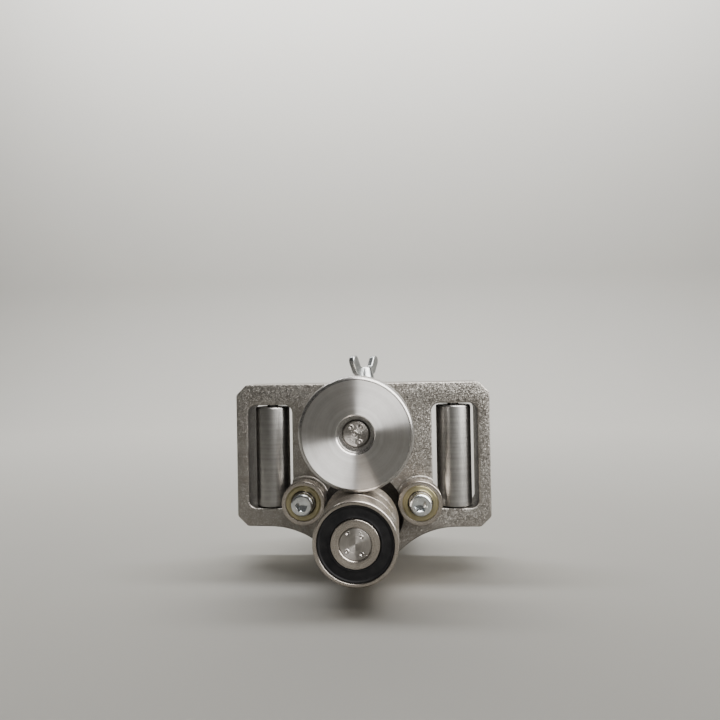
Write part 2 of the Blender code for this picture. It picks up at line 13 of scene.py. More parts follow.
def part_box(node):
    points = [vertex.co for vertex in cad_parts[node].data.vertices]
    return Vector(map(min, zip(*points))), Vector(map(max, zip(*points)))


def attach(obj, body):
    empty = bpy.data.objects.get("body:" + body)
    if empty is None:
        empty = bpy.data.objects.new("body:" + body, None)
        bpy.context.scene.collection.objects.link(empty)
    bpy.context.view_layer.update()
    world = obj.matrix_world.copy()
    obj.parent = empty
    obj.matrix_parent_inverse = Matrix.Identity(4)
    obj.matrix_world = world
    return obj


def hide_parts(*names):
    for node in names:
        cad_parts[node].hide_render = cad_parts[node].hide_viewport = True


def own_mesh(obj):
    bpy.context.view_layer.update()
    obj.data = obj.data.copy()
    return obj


MM = 0.001
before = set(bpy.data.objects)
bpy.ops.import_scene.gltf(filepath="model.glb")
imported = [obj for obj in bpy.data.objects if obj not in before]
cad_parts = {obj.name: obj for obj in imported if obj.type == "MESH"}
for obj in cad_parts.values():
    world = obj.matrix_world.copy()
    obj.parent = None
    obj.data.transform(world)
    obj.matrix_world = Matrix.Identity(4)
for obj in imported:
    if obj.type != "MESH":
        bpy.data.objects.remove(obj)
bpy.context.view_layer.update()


# ---------------------------------------------------------------- places taken from the frame

def extent(node):
    """Lowest and highest corner of a CAD node, in mm."""
    low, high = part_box(node)
    return low / MM, high / MM


def middle(node):
    """Centre of a CAD node's box, in mm."""
    low, high = extent(node)
    return (low + high) / 2


def span(node, axis="Y"):
    """Where a node starts and ends along an axis, in mm."""
    low, high = extent(node)
    i = "XYZ".index(axis)
    return low[i], high[i]


def radius(node):
    """Radius of a turned node, read across X."""
    low, high = extent(node)
    return (high.x - low.x) / 2


# ---------------------------------------------------------------- mesh building

def smooth(mesh, angle=32):
    """Shade a mesh smooth, with hard edges where it turns sharply."""
    mesh.polygons.foreach_set("use_smooth", [True] * len(mesh.polygons))
    mesh.set_sharp_from_angle(angle=math.radians(angle))


def from_bmesh(name, bm):
    """A new object from a bmesh, with its normals outward."""
    bmesh.ops.recalc_face_normals(bm, faces=bm.faces)
    mesh = bpy.data.meshes.new(name)
    bm.to_mesh(mesh)
    bm.free()
    obj = bpy.data.objects.new(name, mesh)
    bpy.context.scene.collection.objects.link(obj)
    return obj


def baked(obj):
    """Apply an object's modifiers to its mesh."""
    bpy.context.view_layer.update()
    graph = bpy.context.evaluated_depsgraph_get()
    mesh = bpy.data.meshes.new_from_object(obj.evaluated_get(graph))
    obj.modifiers.clear()
    obj.data = mesh
    return obj


def boolean(obj, tools, operation="DIFFERENCE"):
    """Cut tools from an object, or join them to it, and remove them."""
    for tool in tools:
        step = obj.modifiers.new("step", "BOOLEAN")
        step.object = tool
        step.operation = operation
        step.solver = "EXACT"
    baked(obj)
    for tool in tools:
        bpy.data.objects.remove(tool, do_unlink=True)
    return obj


def rounded(corners, steps=5):
    """Turn (r, h, rounding) corners into a profile whose corners are eased by that rounding."""
    points = []
    count = len(corners)
    closed = corners[0][0] > 0
    for i, (r, h, ease) in enumerate(corners):
        if not ease or (not closed and i in (0, count - 1)):
            points.append((r, h))
            continue
        here = Vector((r, h))
        before = Vector(corners[i - 1][:2]) - here
        after = Vector(corners[(i + 1) % count][:2]) - here
        a = here + before.normalized() * min(ease, before.length * 0.49)
        b = here + after.normalized() * min(ease, after.length * 0.49)
        for k in range(steps + 1):
            t = k / steps
            points.append(tuple(a * (1 - t) ** 2 + here * 2 * t * (1 - t) + b * t ** 2))
    return points


def turned(name, profile, centre, axis="Y", segments=96, relief=None):
    """Turn a profile of (r, h) points about an axis through centre. relief(u, v, h) shifts h."""
    bm = bmesh.new()
    rings = []
    for r, h in profile:
        ring = []
        for k in range(segments if r > 0 else 1):
            angle = 2 * math.pi * k / segments
            u, v = r * math.cos(angle), r * math.sin(angle)
            w = h + relief(u, v, h) if relief else h
            place = (u, w, v) if axis == "Y" else (u, v, w)
            ring.append(bm.verts.new([c * MM for c in place]))
        rings.append(ring)
    pairs = list(zip(rings, rings[1:]))
    if profile[0][0] > 0:
        pairs.append((rings[-1], rings[0]))
    for one, two in pairs:
        for k in range(segments):
            n = (k + 1) % segments
            loop = [one[k % len(one)], one[n % len(one)], two[n % len(two)], two[k % len(two)]]
            bm.faces.new(list(dict.fromkeys(loop)))
    obj = from_bmesh(name, bm)
    obj.location = [c * MM for c in centre]
    smooth(obj.data)
    return obj


def arc(cx, cz, r, start, end, steps):
    """Points on a circle from one angle to another, in degrees."""
    angles = [math.radians(start + (end - start) * i / steps) for i in range(steps + 1)]
    return [(cx + r * math.cos(a), cz + r * math.sin(a)) for a in angles]


def rectangle(x0, x1, z0, z1, r, steps=8):
    """Outline of a rectangle with round corners."""
    return (arc(x1 - r, z1 - r, r, 0, 90, steps) + arc(x0 + r, z1 - r, r, 90, 180, steps)
            + arc(x0 + r, z0 + r, r, 180, 270, steps) + arc(x1 - r, z0 + r, r, 270, 360, steps))


def curve_bmesh(name, curve):
    """The mesh of a curve, with its doubled points joined."""
    drawn = bpy.data.objects.new(name, curve)
    bpy.context.scene.collection.objects.link(drawn)
    bpy.context.view_layer.update()
    graph = bpy.context.evaluated_depsgraph_get()
    mesh = bpy.data.meshes.new_from_object(drawn.evaluated_get(graph))
    bpy.data.objects.remove(drawn, do_unlink=True)
    bm = bmesh.new()
    bm.from_mesh(mesh)
    bmesh.ops.remove_doubles(bm, verts=bm.verts, dist=0.002 * MM)
    return bm


def sheet(name, loops, front, rear, edge=0.0, turn=0.0, centre=(0, 0)):
    """A slab of (x, z) outlines between two depths, with its edges rounded over.

    Inner loops are holes. The slab is turned about the upright axis, and then moved to centre.
    """
    curve = bpy.data.curves.new(name, "CURVE")
    curve.dimensions = "2D"
    curve.fill_mode = "BOTH"
    curve.extrude = ((rear - front) / 2 - edge) * MM
    curve.bevel_depth = edge * MM
    curve.bevel_resolution = 3
    curve.offset = -edge * MM
    for loop in loops:
        spline = curve.splines.new("POLY")
        spline.points.add(len(loop) - 1)
        spline.use_cyclic_u = True
        for point, (x, z) in zip(spline.points, loop):
            point.co = (x * MM, z * MM, 0, 1)
    bm = curve_bmesh(name, curve)
    bmesh.ops.dissolve_limit(bm, angle_limit=math.radians(0.1), verts=bm.verts, edges=bm.edges)
    mid = (front + rear) / 2
    cos, sin = math.cos(turn), math.sin(turn)
    for v in bm.verts:
        x, z, w = v.co / MM
        y = mid - w
        turned_x, turned_y = x * cos - y * sin, x * sin + y * cos
        v.co = ((turned_x + centre[0]) * MM, (turned_y + centre[1]) * MM, z * MM)
    return from_bmesh(name, bm)


def cylinder(centre, r, start, end, axis="Y", mouth=0.0, segments=64):
    """A cutter along Y or Z, with a flare of the given size where it starts."""
    if mouth:
        profile = [(0, start - 2), (r + mouth + 2, start - 2), (r, start + mouth), (r, end), (0, end)]
    else:
        profile = [(0, start), (r, start), (r, end), (0, end)]
    return turned("cutter", profile, centre, axis, segments)


def second_finish(obj, material, chosen):
    """Give the faces whose middle, in mm, passes a test a second finish. Called after place."""
    obj.data.materials.append(material)
    for face in obj.data.polygons:
        if chosen(face.center / MM):
            face.material_index = 1


def place(obj, body, slot, material, *nodes):
    """Give a piece its finish, and let it stand for its CAD nodes on their body."""
    obj.data.materials.clear()
    obj.data.materials.append(material)
    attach(obj, body)
    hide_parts(*nodes)
    return obj


# ---------------------------------------------------------------- finishes

def add(tree, kind, values=None, **settings):
    """Add a shader node. A value that is a socket is linked, any other is set."""
    made = tree.nodes.new(kind)
    for key, value in settings.items():
        setattr(made, key, value)
    for key, value in (values or {}).items():
        if isinstance(value, bpy.types.NodeSocket):
            tree.links.new(value, made.inputs[key])
        else:
            made.inputs[key].default_value = value
    return made


def start_material(name, metallic, anisotropic=0.0, **constants):
    """A material with its shader and its coordinates in mm."""
    material = bpy.data.materials.new(name)
    material.use_nodes = True
    tree = material.node_tree
    shader = tree.nodes["Principled BSDF"]
    shader.inputs["Metallic"].default_value = metallic
    shader.inputs["Anisotropic"].default_value = anisotropic
    for key, value in constants.items():
        shader.inputs[key.replace("_", " ")].default_value = value
    coords = add(tree, "ShaderNodeTexCoord").outputs["Object"]
    mm = add(tree, "ShaderNodeVectorMath", {0: coords, "Scale": 1 / MM}, operation="SCALE")
    return material, tree, shader, mm.outputs["Vector"]


def spread(tree, value, low, high, start=0.3, end=0.7):
    """Map a noise value onto a range."""
    made = add(tree, "ShaderNodeMapRange", {"Value": value, "From Min": start, "From Max": end,
                                            "To Min": low, "To Max": high})
    return made.outputs["Result"]


def tint(tree, factor, dark, light):
    """Blend two colours by a factor."""
    ramp = add(tree, "ShaderNodeMix", {0: factor, 6: (*dark, 1), 7: (*light, 1)}, data_type="RGBA")
    return ramp.outputs[2]


def grain(tree, vector, scale, detail=3.0, rough=0.6):
    """A noise value at a number of grains per mm."""
    made = add(tree, "ShaderNodeTexNoise", {"Vector": vector, "Scale": scale, "Detail": detail,
                                            "Roughness": rough})
    return made.outputs["Fac"]


def bump(tree, height, depth, strength=1.0, below=None):
    """A bump of a depth in mm, on top of another bump."""
    values = {"Height": height, "Distance": depth * MM, "Strength": strength}
    if below:
        values["Normal"] = below
    return add(tree, "ShaderNodeBump", values).outputs["Normal"]


def cast_metal(name, dark, light, rough, size, depth, tilt):
    """Blasted casting: mottled tone, a coarse skin, small grains that each face their own way, and painted
    highlights, where edges and some grains are lightened in the colour.
    """
    material, tree, shader, mm = start_material(name, 1.0)
    blotch = grain(tree, mm, 0.09, 4.0)
    skin = grain(tree, mm, 0.55, 4.0, 0.7)
    fine = grain(tree, mm, 1 / size, 3.0, 0.75)
    facets = add(tree, "ShaderNodeTexVoronoi", {"Vector": mm, "Scale": 1 / size, "Randomness": 1.0})
    grains = facets.outputs["Color"]
    glint = add(tree, "ShaderNodeSeparateColor", {"Color": grains}).outputs["Red"]
    tone = tint(tree, spread(tree, blotch, 0.0, 1.0, 0.35, 0.65), dark, light)
    # Painted highlights: convex edges and the brightest grains are lightened in the colour, standing in
    # for light caught there.
    edge = add(tree, "ShaderNodeNewGeometry").outputs["Pointiness"]
    painted_edge_highlight = spread(tree, edge, 0.0, 0.5, 0.52, 0.60)
    painted_glint_specks = spread(tree, glint, 0.0, 0.6, 0.72, 1.0)
    shine = add(tree, "ShaderNodeMath", {0: painted_edge_highlight, 1: painted_glint_specks}, operation="MAXIMUM").outputs[0]
    bright = [min(1.0, c * 1.5) for c in light]
    lit = add(tree, "ShaderNodeMix", {0: shine, 6: tone, 7: (*bright, 1)}, data_type="RGBA").outputs[2]
    pits = spread(tree, fine, 0.62, 1.0, 0.32, 0.50)
    colour = add(tree, "ShaderNodeVectorMath", {0: lit, "Scale": pits}, operation="SCALE").outputs[0]
    tree.links.new(colour, shader.inputs["Base Color"])
    tree.links.new(spread(tree, glint, rough - 0.10, rough + 0.10, 0.0, 1.0), shader.inputs["Roughness"])
    low = bump(tree, skin, 0.22, 0.5)
    mid = bump(tree, fine, depth, 0.8, low)
    middle_grey = (0.5, 0.5, 0.5)
    lean = add(tree, "ShaderNodeVectorMath", {0: grains, 1: middle_grey}, operation="SUBTRACT").outputs[0]
    leant = add(tree, "ShaderNodeVectorMath", {0: lean, "Scale": tilt}, operation="SCALE").outputs[0]
    total = add(tree, "ShaderNodeVectorMath", {0: mid, 1: leant}, operation="ADD").outputs[0]
    normal = add(tree, "ShaderNodeVectorMath", {0: total}, operation="NORMALIZE").outputs[0]
    tree.links.new(normal, shader.inputs["Normal"])
    return material


def turned_metal(name, axis, dark, light, rough, anisotropic=0.6, pitch=7.0, depth=0.004, wear=0.35):
    """Turned or ground metal: fine rings about its axis, small scratches, and slightly uneven polish."""
    material, tree, shader, mm = start_material(name, 1.0, anisotropic, Anisotropic_Rotation=0.25)
    parts = add(tree, "ShaderNodeSeparateXYZ", {0: mm}).outputs
    along = parts[axis]
    across = (parts["X"], parts["Z" if axis == "Y" else "Y"])
    squares = [add(tree, "ShaderNodeMath", {0: c, 1: c}, operation="MULTIPLY") for c in across]
    total = add(tree, "ShaderNodeMath", {0: squares[0].outputs[0], 1: squares[1].outputs[0]}).outputs[0]
    ring = add(tree, "ShaderNodeMath", {0: total}, operation="SQRT").outputs[0]
    groove = add(tree, "ShaderNodeCombineXYZ", {0: ring, 1: along, 2: 0.0}).outputs[0]
    lines = grain(tree, groove, pitch, 4.0, 0.7)
    bands = grain(tree, groove, pitch * 0.13, 2.0, 0.5)
    cloud = grain(tree, mm, 0.35, 4.0, 0.65)
    marks = grain(tree, mm, 2.2, 5.0, 0.75)
    banded, clouded = spread(tree, bands, 0.0, 0.6), spread(tree, cloud, 0.0, 0.4)
    level = add(tree, "ShaderNodeMath", {0: banded, 1: clouded})
    tree.links.new(tint(tree, level.outputs[0], dark, light), shader.inputs["Base Color"])
    dull = spread(tree, marks, 0.0, 0.10, 0.45, 0.75)
    polish = spread(tree, lines, rough - 0.05, rough + 0.06)
    both = add(tree, "ShaderNodeMath", {0: polish, 1: dull})
    tree.links.new(both.outputs[0], shader.inputs["Roughness"])
    tangent = add(tree, "ShaderNodeTangent", direction_type="RADIAL", axis=axis).outputs[0]
    tree.links.new(tangent, shader.inputs["Tangent"])
    rings = bump(tree, lines, depth, 0.6)
    tree.links.new(bump(tree, marks, 0.006, wear, rings), shader.inputs["Normal"])
    return material


def plated_metal(name, dark, light, rough, depth=0.02):
    """Bright plating or plain steel over a formed part: cloudy tone and a slightly orange-peel skin."""
    material, tree, shader, mm = start_material(name, 1.0)
    cloud = grain(tree, mm, 0.5, 4.0)
    peel = grain(tree, mm, 2.6, 2.0)
    edge = spread(tree, add(tree, "ShaderNodeNewGeometry").outputs["Pointiness"], 0.0, 0.5, 0.52, 0.62)
    level = add(tree, "ShaderNodeMath", {0: spread(tree, cloud, 0.0, 0.7), 1: edge})
    tree.links.new(tint(tree, level.outputs[0], dark, light), shader.inputs["Base Color"])
    tree.links.new(spread(tree, peel, rough - 0.06, rough + 0.09), shader.inputs["Roughness"])
    tree.links.new(bump(tree, peel, depth, 0.5), shader.inputs["Normal"])
    return material


def rubber(name):
    """Moulded black rubber with a soft bloom and a few grains of dust."""
    material, tree, shader, mm = start_material(name, 0.0, Specular_IOR_Level=0.15)
    bloom = grain(tree, mm, 0.3, 4.0)
    tooth = grain(tree, mm, 6.0, 3.0)
    dust = spread(tree, grain(tree, mm, 3.4, 1.0), 0.0, 0.5, 0.72, 0.80)
    level = add(tree, "ShaderNodeMath", {0: spread(tree, bloom, 0.0, 0.06), 1: dust}).outputs[0]
    colour = tint(tree, level, (0.004, 0.004, 0.0045), (0.09, 0.086, 0.082))
    tree.links.new(colour, shader.inputs["Base Color"])
    tree.links.new(spread(tree, bloom, 0.42, 0.58), shader.inputs["Roughness"])
    tree.links.new(bump(tree, tooth, 0.012, 0.5), shader.inputs["Normal"])
    return material


CAST = cast_metal("blasted_casting", (0.27, 0.25, 0.225), (0.38, 0.36, 0.33),
                  rough=0.38, size=0.31, depth=0.05, tilt=0.33)
# Painted shade: a darker copy of the casting for the window walls and the pocket, where little light
# reaches.
INSIDE_PAINTED_SHADE = cast_metal("rough_inside_painted_shade", (0.085, 0.08, 0.072), (0.14, 0.13, 0.12),
                    rough=0.62, size=0.5, depth=0.10, tilt=0.25)
IRON = cast_metal("iron_casting", (0.20, 0.19, 0.18), (0.30, 0.285, 0.27),
                  rough=0.48, size=0.5, depth=0.09, tilt=0.28)
WHEEL = turned_metal("face_turned_steel", "Y", (0.62, 0.60, 0.58), (0.80, 0.785, 0.77),
                     rough=0.42, anisotropic=1.0, pitch=8.0, depth=0.004, wear=0.1)
# Painted shade: a darker copy of the turned steel for the wheel's rim and its recess, with a smoother
# polish.
RIM_PAINTED_SHADE = turned_metal("polished_rim_painted_shade", "Y", (0.37, 0.355, 0.34), (0.51, 0.495, 0.48),
                   rough=0.25, anisotropic=0.5, pitch=8.0, depth=0.003, wear=0.1)
RING = turned_metal("bearing_steel", "Y", (0.36, 0.325, 0.285), (0.54, 0.49, 0.44),
                    rough=0.26, anisotropic=0.55)
SHAFT = turned_metal("shaft_steel", "Y", (0.34, 0.32, 0.30), (0.52, 0.49, 0.46),
                     rough=0.34, anisotropic=0.9)
ROLLER = turned_metal("ground_steel", "Z", (0.26, 0.255, 0.245), (0.40, 0.39, 0.375),
                      rough=0.33, anisotropic=0.6, pitch=5.0, depth=0.005)
PIN = turned_metal("pin_steel", "Z", (0.18, 0.175, 0.17), (0.30, 0.29, 0.28),
                   rough=0.35, anisotropic=0.5)
BRONZE = turned_metal("bush_bronze", "Z", (0.38, 0.25, 0.12), (0.56, 0.39, 0.20),
                      rough=0.42, anisotropic=0.3)
SHIELD = turned_metal("yellow_shield", "Y", (0.33, 0.29, 0.17), (0.50, 0.45, 0.28),
                      rough=0.33, anisotropic=0.5, pitch=4.0)
ZINC = plated_metal("bright_zinc", (0.60, 0.63, 0.64), (0.86, 0.87, 0.86), rough=0.20)
NUT = plated_metal("cast_zinc", (0.30, 0.315, 0.32), (0.60, 0.61, 0.60), rough=0.25, depth=0.03)
SOCKET = plated_metal("socket_walls", (0.66, 0.70, 0.71), (0.92, 0.95, 0.95), rough=0.13)
BLACK = plated_metal("black_oxide", (0.025, 0.025, 0.027), (0.10, 0.10, 0.10), rough=0.38)
MILLED = plated_metal("milled_steel", (0.34, 0.33, 0.32), (0.52, 0.50, 0.48), rough=0.34, depth=0.03)
WIRE = plated_metal("spring_wire", (0.16, 0.16, 0.165), (0.30, 0.30, 0.30), rough=0.30)
RUBBER = rubber("seal_rubber")


# ---------------------------------------------------------------- the cast plate

LOWER = middle("lower_shaft").z
UPPER = middle("wheel_shaft").z
PLATE_HIGH = extent("frame_plate")[1]
PLATE_T = PLATE_HIGH.y
PLATE_BOTTOM = LOWER - 6.2
HALF_W = PLATE_HIGH.x
CORNER = 4.6
LOBE_R = 23.4
FILLET = 36.0
WINDOW = (31.1, 51.2, LOWER + 2.0, LOWER + 48.2)
WINDOW_CORNER = 3.5
GUIDE_X = middle("right_guide_screw").x
GUIDE_Z = middle("right_guide_screw").z
PROUD = 1.0
BOSS_R = 10.6
POCKET_R = 18.3
POCKET_FLOOR = 9.0
SHAFT_BORE_R = 6.05
PIN_BORE_R = 2.56
LIFT = 4.0


def slot_loop(r):
    """Outline of the upright slot that the wheel's shaft lifts in."""
    return arc(0, UPPER + LIFT, r, 0, 180, 24) + arc(0, UPPER, r, 180, 360, 24)


def plate_loop():
    """Outline of the plate: chamfered corners, and a lobe below with wide fillets."""
    drop = LOWER - PLATE_BOTTOM + FILLET
    fillet_x = math.sqrt((LOBE_R + FILLET) ** 2 - drop ** 2)
    meet = math.degrees(math.atan2(drop, fillet_x))
    flat = math.degrees(math.asin(LOWER / LOBE_R))
    half = []
    corners = [(HALF_W - CORNER, PLATE_HIGH.z), (HALF_W, PLATE_HIGH.z - CORNER),
               (HALF_W, PLATE_BOTTOM + CORNER), (HALF_W - CORNER, PLATE_BOTTOM + 0.1)]
    before = [(0, PLATE_HIGH.z)] + corners[:-1]
    after = corners[1:] + [(fillet_x, PLATE_BOTTOM)]
    for last, here, following in zip(before, corners, after):
        half += ease_corner(last, here, following, 0.9)
    half += arc(fillet_x, PLATE_BOTTOM - FILLET, FILLET, 90, 180 - meet, 28)
    half += arc(0, LOWER, LOBE_R, -meet, -flat, 24)[1:]
    return half + [(-x, z) for x, z in reversed(half)]


def ease_corner(last, here, following, size, steps=4):
    """Points that round one corner of an outline."""
    corner = Vector(here)
    a = corner + (Vector(last) - corner).normalized() * size
    b = corner + (Vector(following) - corner).normalized() * size
    steps_t = [k / steps for k in range(steps + 1)]
    return [tuple(a * (1 - t) ** 2 + corner * 2 * t * (1 - t) + b * t ** 2) for t in steps_t]


def window_loops():
    """The two window outlines."""
    x0, x1, z0, z1 = WINDOW
    return [rectangle(x0, x1, z0, z1, WINDOW_CORNER), rectangle(-x1, -x0, z0, z1, WINDOW_CORNER)]


def frame_plate():
    """The casting, with raised bosses and pad on its face, windows, pocket, slot and holes."""
    plate = sheet("plate", [plate_loop()] + window_loops(), 0, PLATE_T, 0.55)
    top, inner = LOWER + 15.0, 14.0
    edge = WINDOW[0] - 0.02
    outline = [(-edge, top), (-23.5, top), (-inner, LOWER + 7.6), (-inner, PLATE_BOTTOM + 0.6),
               (-edge + 0.3, PLATE_BOTTOM + 1.6)]
    raised = [sheet("pad", [outline], -PROUD + 0.1, 2.0, 0.35)]
    for side in (-1, 1):
        profile = rounded([(0, -PROUD, 0), (BOSS_R, -PROUD, 0.5), (BOSS_R, 2.0, 0), (0, 2.0, 0)])
        boss = turned("boss", profile, (side * GUIDE_X, 0, GUIDE_Z))
        raised.append(boolean(boss, [sheet("trim", [loop], -3, 4) for loop in window_loops()]))
    boolean(plate, raised, "UNION")
    tools = [cylinder((0, 0, LOWER), POCKET_R, -PROUD, POCKET_FLOOR, mouth=0.5, segments=128),
             sheet("slot", [slot_loop(8)], -2, PLATE_T + 2),
             cylinder((0, 0, LOWER), SHAFT_BORE_R, 2, PLATE_T + 2)]
    for side, word in ((-1, "left"), (1, "right")):
        pin = middle(f"{word}_roller_pin")
        low, high = span(f"{word}_roller_pin", "Z")
        tools.append(cylinder((pin.x, pin.y, 0), PIN_BORE_R, low - 3, high + 0.2, "Z"))
        tools.append(cylinder((side * GUIDE_X, 0, GUIDE_Z), 3.0, -3, 12.5))
        for level in ("lower", "upper"):
            hole = middle(f"{level}_{word}_housing_screw")
            tools.append(cylinder((hole.x, 0, hole.z), 2.0, 8, PLATE_T + 2))
    boolean(plate, tools)
    smooth(plate.data)
    place(plate, "frame", "cast_plate", CAST, "frame_plate").name = "cast_plate"
    # The window walls and the pocket get the darker casting as painted shade.
    second_finish(plate, INSIDE_PAINTED_SHADE, sunk)


def sunk(at):
    """Whether a point of the plate is on the walls of a window or in the pocket, which carry painted
    shade.
    """
    x0, x1, z0, z1 = WINDOW
    in_window = x0 - 0.2 < abs(at.x) < x1 + 0.2 and z0 - 0.2 < at.z < z1 + 0.2
    in_pocket = math.hypot(at.x, at.z - LOWER) < POCKET_R + 0.05
    return (in_window or in_pocket) and 0.5 < at.y < PLATE_T - 0.5


# ---------------------------------------------------------------- housing and block

def rear_housing():
    """The rear casting with its foot, the room for the block, and the sunk screws."""
    low, high = extent("rear_housing")
    block_low, block_high = extent("slide_block")
    half, chamfer, waist, foot, ankle = high.x, 3.0, 18.0, 14.0, 5.0
    half_loop = [(half - chamfer, high.z), (half, high.z - chamfer), (half, waist), (foot, ankle),
                 (foot, 0.0)]
    before = [(0, high.z)] + half_loop[:-1]
    after = half_loop[1:] + [(0, 0)]
    outline = []
    for last, here, following in zip(before, half_loop, after):
        outline += ease_corner(last, here, following, 1.0)
    outline += [(-x, z) for x, z in reversed(outline)]
    housing = sheet("housing", [outline], low.y, high.y, 0.7)
    gap = 0.3
    wall = block_high.y + gap
    room = rectangle(block_low.x - gap, block_high.x + gap,
                     block_low.z - gap, block_high.z + LIFT + gap, 0.4)
    stud = middle("lift_stud")
    tools = [sheet("room", [room], low.y - 2, wall),
             sheet("slot", [slot_loop(8.5)], wall - 1, high.y + 2),
             cylinder((stud.x, stud.y, 0), 2.7, block_high.z, high.z + 3, "Z")]
    floor, sink_r, flare, past = high.y - 4.4, 3.5, 0.4, 1.6
    sink = [(0, floor), (sink_r, floor), (sink_r, high.y - flare),
            (sink_r + flare + past, high.y + past), (0, high.y + past)]
    for level in ("lower", "upper"):
        for word in ("left", "right"):
            hole = middle(f"{level}_{word}_housing_screw")
            tools.append(cylinder((hole.x, 0, hole.z), 2.0, low.y - 2, floor + 1))
            tools.append(turned("sink", sink, (hole.x, 0, hole.z), segments=48))
    boolean(housing, tools)
    smooth(housing.data)
    place(housing, "frame", "cast_housing", IRON, "rear_housing").name = "rear_casting"


def hex_socket(centre, across, start, depth, floor, axis="Y"):
    """A cutter for a hexagon socket with a drilled cone at its floor. depth is signed along the axis."""
    corner, drill = across / 2 / math.cos(math.pi / 6), across * 0.46
    sign = 1 if depth > 0 else -1
    mouth, end = start - sign, start + depth
    prism = turned("hex", [(0, mouth), (corner, mouth), (corner, end), (0, end)], centre, axis, 6)
    cone = turned("cone", [(0, start), (drill, start), (drill, end + 0.01 * sign),
                           (0, end + floor * sign)], centre, axis, 48)
    return [prism, cone]


def housing_screws():
    """The four black cap screws in the back of the housing."""
    for level in ("lower", "upper"):
        for word in ("left", "right"):
            node = f"{level}_{word}_housing_screw"
            centre, (start, end) = middle(node), span(node)
            head_r, seat, shank_r = 3.4, end - 3.9, 1.95
            corners = [(0, end, 0), (head_r, end, 0.45), (head_r, seat, 0.1), (shank_r, seat, 0.2),
                       (shank_r, start, 0.4), (0, start, 0)]
            screw = turned("screw", rounded(corners), (centre.x, 0, centre.z), segments=64)
            boolean(screw, hex_socket((centre.x, 0, centre.z), 3.0, end, -2.0, 0.7))
            smooth(screw.data)
            place(screw, "frame", "black_steel", BLACK, node).name = f"cap_screw_{level}_{word}"


def slide_block():
    """The milled block with its bearing seats, spring pockets and stud seat."""
    low, high = extent("slide_block")
    block = sheet("block", [rectangle(low.x, high.x, low.z, high.z, 0.8, 4)], low.y, high.y, 0.35)
    centre, stud = (0, 0, UPPER), middle("lift_stud")
    bore_r, seat_r = 7.0, 9.55
    front_seat = span("front_block_bearing_outer_ring")[1] + 0.1
    rear_seat = span("rear_block_bearing_outer_ring")[0] - 0.1
    tools = [cylinder(centre, bore_r, low.y - 1, high.y + 1),
             cylinder(centre, seat_r, low.y - 1, front_seat),
             cylinder(centre, seat_r, rear_seat, high.y + 1),
             cylinder((0, stud.y, 0), 2.45, UPPER, high.z + 1, "Z")]
    for word in ("left", "right"):
        spot, foot = middle(f"{word}_spring"), span(f"{word}_spring", "Z")[0]
        tools.append(cylinder((spot.x, spot.y, 0), 3.0, foot - 0.2, high.z + 1, "Z"))
    boolean(block, tools)
    smooth(block.data)
    place(block, "slide", "plain_steel", MILLED, "slide_block").name = "wheel_block"


def springs():
    """The two compression springs, with close turns at both ends."""
    wire, coil, turns, dead = 0.45, 2.25, 7.0, 1.0
    for word in ("left", "right"):
        node = f"{word}_spring"
        spot, (low, high) = middle(node), span(node, "Z")
        curve = bpy.data.curves.new(node, "CURVE")
        curve.dimensions = "3D"
        curve.bevel_depth = wire * MM
        curve.bevel_resolution = 4
        curve.use_fill_caps = True
        line = curve.splines.new("POLY")
        count = int(turns * 32)
        line.points.add(count)
        start, end = low + wire, high - wire
        rise = (end - start - 4 * wire * dead) / (turns - 2 * dead)
        for i, point in enumerate(line.points):
            turn = turns * i / count
            z = start + 2 * wire * min(turn, dead) + rise * max(0.0, min(turn, turns - dead) - dead)
            z += 2 * wire * max(0.0, turn - (turns - dead))
            angle = 2 * math.pi * turn
            point.co = (coil * math.cos(angle) * MM, coil * math.sin(angle) * MM, z * MM, 1)
        spring = from_bmesh(f"coil_{word}", curve_bmesh(node, curve))
        spring.location = (spot.x * MM, spot.y * MM, 0)
        smooth(spring.data)
        place(spring, "frame", "spring_steel", WIRE, node)
        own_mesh(spring)


# ---------------------------------------------------------------- rollers, shafts and wheel

def side_rollers():
    """The ground roller in each window, with its pin and bushes."""
    for word in ("left", "right"):
        node = f"{word}_window_roller"
        centre, (low, high), r = middle(node), span(node, "Z"), radius(node)
        foot = (centre.x, centre.y, 0)
        seat, seat_r, bore_r = 8.0, 4.05, 3.0
        corners = [(r, high, 0.8), (r, low, 0.8), (seat_r, low, 0.3), (seat_r, low + seat, 0),
                   (bore_r, low + seat, 0), (bore_r, high - seat, 0), (seat_r, high - seat, 0),
                   (seat_r, high, 0.3)]
        roller = turned(f"ground_roller_{word}", rounded(corners), foot, "Z", 128)
        place(roller, f"{word}_roller", "ground_steel", ROLLER, node)
        for level in ("lower", "upper"):
            node = f"{word}_{level}_bush"
            start, end = span(node, "Z")
            ring = rounded([(4.0, end, 0.25), (4.0, start, 0.25), (2.6, start, 0.25), (2.6, end, 0.25)])
            bush = turned(f"bush_{word}_{level}", ring, foot, "Z", 64)
            place(bush, f"{word}_roller", "bronze", BRONZE, node)
        node = f"{word}_roller_pin"
        start, end = span(node, "Z")
        corners = [(0, end, 0), (2.5, end, 0.4), (2.5, start, 0.4), (0, start, 0)]
        pin = turned(f"pin_{word}", rounded(corners), foot, "Z", 64)
        place(pin, "frame", "plain_steel", PIN, node)


def crater(u, v, spot, size, depth):
    """Height of the metal round one punch mark, with its raised lip."""
    d = math.hypot(u - spot[0], v - spot[1]) / size
    return depth * max(0.0, 1 - d * d) - 0.35 * depth * math.exp(-((d - 1.12) / 0.22) ** 2)


def disc_steps(r, count):
    """Radii from the axis out to r, for a face fine enough to carry marks."""
    return [r * i / count for i in range(count + 1)]


